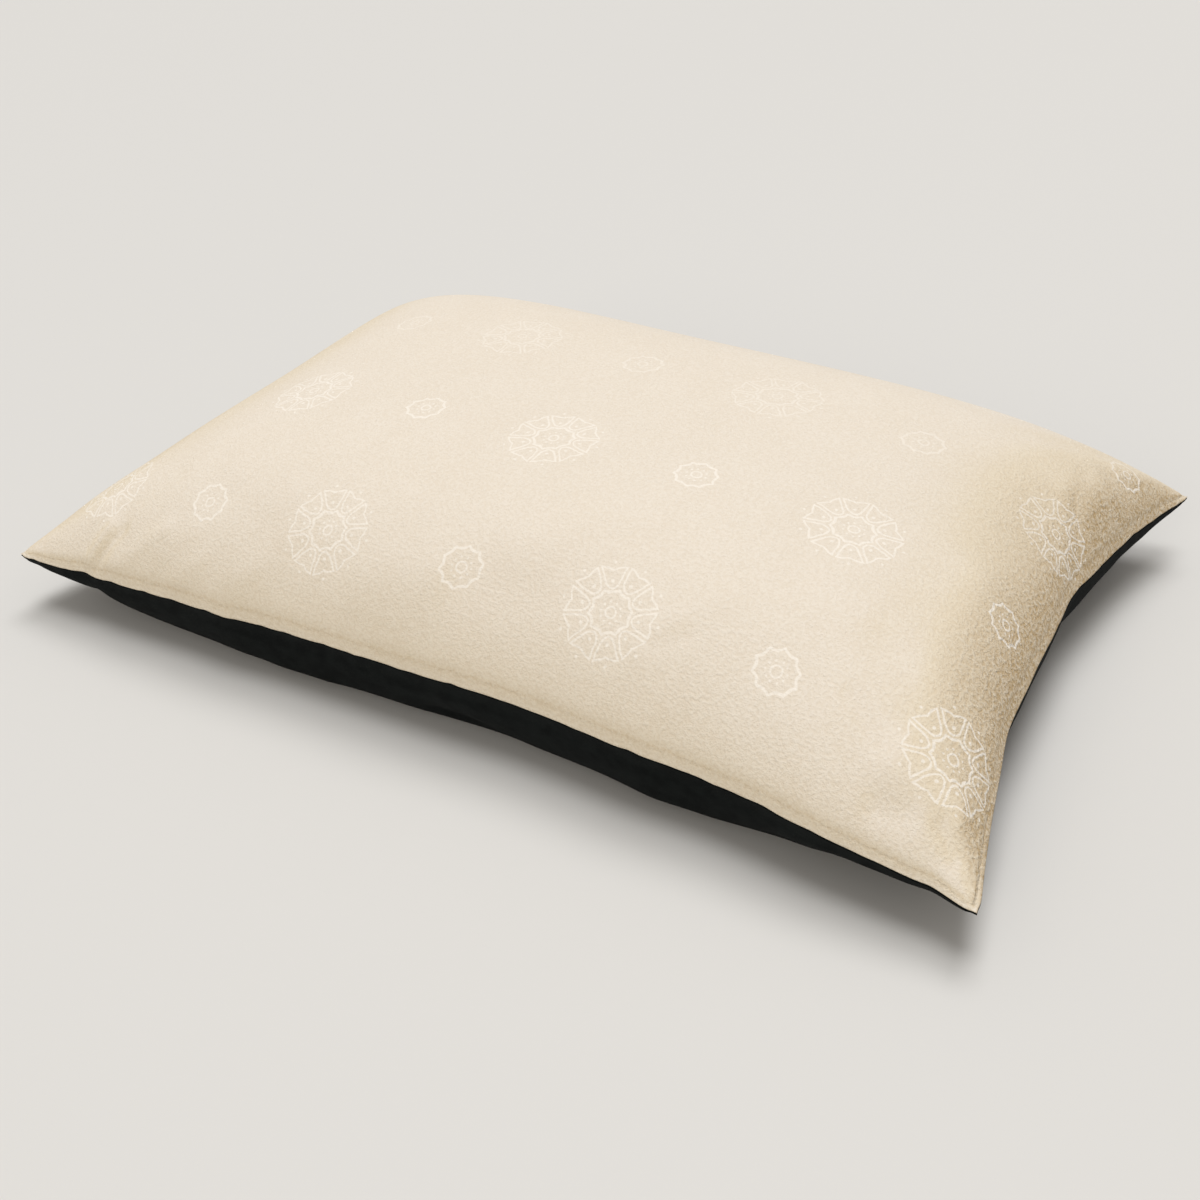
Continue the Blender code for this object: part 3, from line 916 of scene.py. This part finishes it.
def canvasMaterial():
    material = bpy.data.materials.new("blackCanvas")
    material.use_nodes = True
    tree = material.node_tree
    shader = tree.nodes["Principled BSDF"]
    height, shade = placeGrain(tree, canvas)
    flat = tree.nodes.new("ShaderNodeUVMap")
    flat.uv_map = "flatPanel"
    split = tree.nodes.new("ShaderNodeSeparateXYZ")
    tree.links.new(flat.outputs[0], split.inputs[0])
    threadsAcross = math.pi * canvas["flatLength"] / canvas["threadPitch"]
    threadsDeep = math.pi * canvas["flatWidth"] / canvas["threadPitch"]
    warp = calc(tree, "SINE", calc(tree, "MULTIPLY", split.outputs["X"], threadsAcross))
    weft = calc(tree, "SINE", calc(tree, "MULTIPLY", split.outputs["Y"], threadsDeep))
    tree.links.new(mixColour(tree, shade, canvas["thread"], canvas["worn"]), shader.inputs["Base Color"])
    bump = tree.nodes.new("ShaderNodeBump")
    bump.inputs["Strength"].default_value = canvas["threadRelief"]
    bump.inputs["Distance"].default_value = canvas["threadDepth"]
    tree.links.new(calc(tree, "ADD", calc(tree, "MULTIPLY", warp, weft), height), bump.inputs["Height"])
    tree.links.new(bump.outputs[0], shader.inputs["Normal"])
    shader.inputs["Roughness"].default_value = canvas["roughness"]
    shader.inputs["Sheen Weight"].default_value = canvas["sheen"]
    shader.inputs["Specular IOR Level"].default_value = canvas["specular"]
    return material


columns, rows = canvas["columns"], canvas["rows"]
canvasBase, basePlaces = sewnPanel("canvas_base", baseOuterFace, baseInnerFace, columns, rows)
layOutCloth(canvasBase, basePlaces, columns, rows, baseOuterFace)
canvasBase.data.materials.append(canvasMaterial())
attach(canvasBase, "root")
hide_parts("base_panel")
print("canvas base made:", len(canvasBase.data.polygons), "faces")

# The floor and the light
Lamp = namedtuple("Lamp", "name toward spread strength colour")
studio = {
    "floorColour": (0.70, 0.69, 0.67, 1),
    "floorRoughness": 0.8,
    "floorSize": 60,
    "floorBelow": 0.0002,
    "skyColour": (1.0, 0.96, 0.91, 1),
    "skyStrength": 0.36,
    "wallColour": (0.78, 0.77, 0.74, 1),
    "lamps": (  # each toward a direction seen from the cushion, with its soft spread in degrees
        Lamp("overhead", (0, 0, 1), 28, 1.05, (1, 1, 1)),
        Lamp("near", (0, -0.91, 0.42), 28, 0.62, (1, 0.945, 0.85)),
        Lamp("back", (-0.10, 0.45, 0.89), 28, 1.06, (1, 1, 1)),
    ),
}

work = bmesh.new()
bmesh.ops.create_grid(work, x_segments=1, y_segments=1, size=studio["floorSize"])
bmesh.ops.translate(work, verts=work.verts[:], vec=(0, 0, -studio["floorBelow"]))
floorMesh = bpy.data.meshes.new("floor")
work.to_mesh(floorMesh)
work.free()
floor = bpy.data.objects.new("floor", floorMesh)
bpy.context.scene.collection.objects.link(floor)
floorMaterial = bpy.data.materials.new("paleFloor")
floorMaterial.use_nodes = True
floorShader = floorMaterial.node_tree.nodes["Principled BSDF"]
floorShader.inputs["Base Color"].default_value = studio["floorColour"]
floorShader.inputs["Roughness"].default_value = studio["floorRoughness"]
floorMesh.materials.append(floorMaterial)

# the sky lights the cushion softly, and behind the floor's far edge the wall looks as pale as the floor
world = bpy.data.worlds.new("studio")
world.use_nodes = True
tree = world.node_tree
sky = tree.nodes["Background"]
sky.inputs["Color"].default_value = studio["skyColour"]
sky.inputs["Strength"].default_value = studio["skyStrength"]
wall = tree.nodes.new("ShaderNodeBackground")
wall.inputs["Color"].default_value = studio["wallColour"]
seen = tree.nodes.new("ShaderNodeMixShader")
tree.links.new(tree.nodes.new("ShaderNodeLightPath").outputs["Is Camera Ray"], seen.inputs[0])
tree.links.new(sky.outputs[0], seen.inputs[1])
tree.links.new(wall.outputs[0], seen.inputs[2])
tree.links.new(seen.outputs[0], tree.nodes["World Output"].inputs["Surface"])
bpy.context.scene.world = world

for lamp in studio["lamps"]:
    lampData = bpy.data.lights.new(lamp.name, "SUN")
    lampData.angle = math.radians(lamp.spread)
    lampData.energy = lamp.strength
    lampData.color = lamp.colour
    lampObject = bpy.data.objects.new(lamp.name, lampData)
    lampObject.rotation_euler = Vector(lamp.toward).to_track_quat("Z", "Y").to_euler()
    bpy.context.scene.collection.objects.link(lampObject)
print("floor and light set")

# The camera, at the photograph's angle
view = {
    "place": (0.82606, -1.25273, 0.89828),
    "azimuth": 33.61,
    "elevation": 31.91,
    "roll": -3.053,
    "lens": 39.816,
}
azimuth, elevation, roll = (math.radians(view[word]) for word in ("azimuth", "elevation", "roll"))
outward = Vector((math.sin(azimuth), -math.cos(azimuth), 0))
back = outward * math.cos(elevation) + Vector((0, 0, math.sin(elevation)))
level = Vector((math.cos(azimuth), math.sin(azimuth), 0))
upright = back.cross(level)
right = math.cos(roll) * level + math.sin(roll) * upright
up = math.cos(roll) * upright - math.sin(roll) * level
cameraData = bpy.data.cameras.new("camera")
cameraData.lens = view["lens"]
camera = bpy.data.objects.new("camera", cameraData)
turned = Matrix((right, up, back)).transposed().to_4x4()
camera.matrix_world = Matrix.Translation(view["place"]) @ turned
bpy.context.scene.collection.objects.link(camera)
bpy.context.scene.camera = camera
bpy.context.scene.view_settings.view_transform = "Standard"
print("camera set")
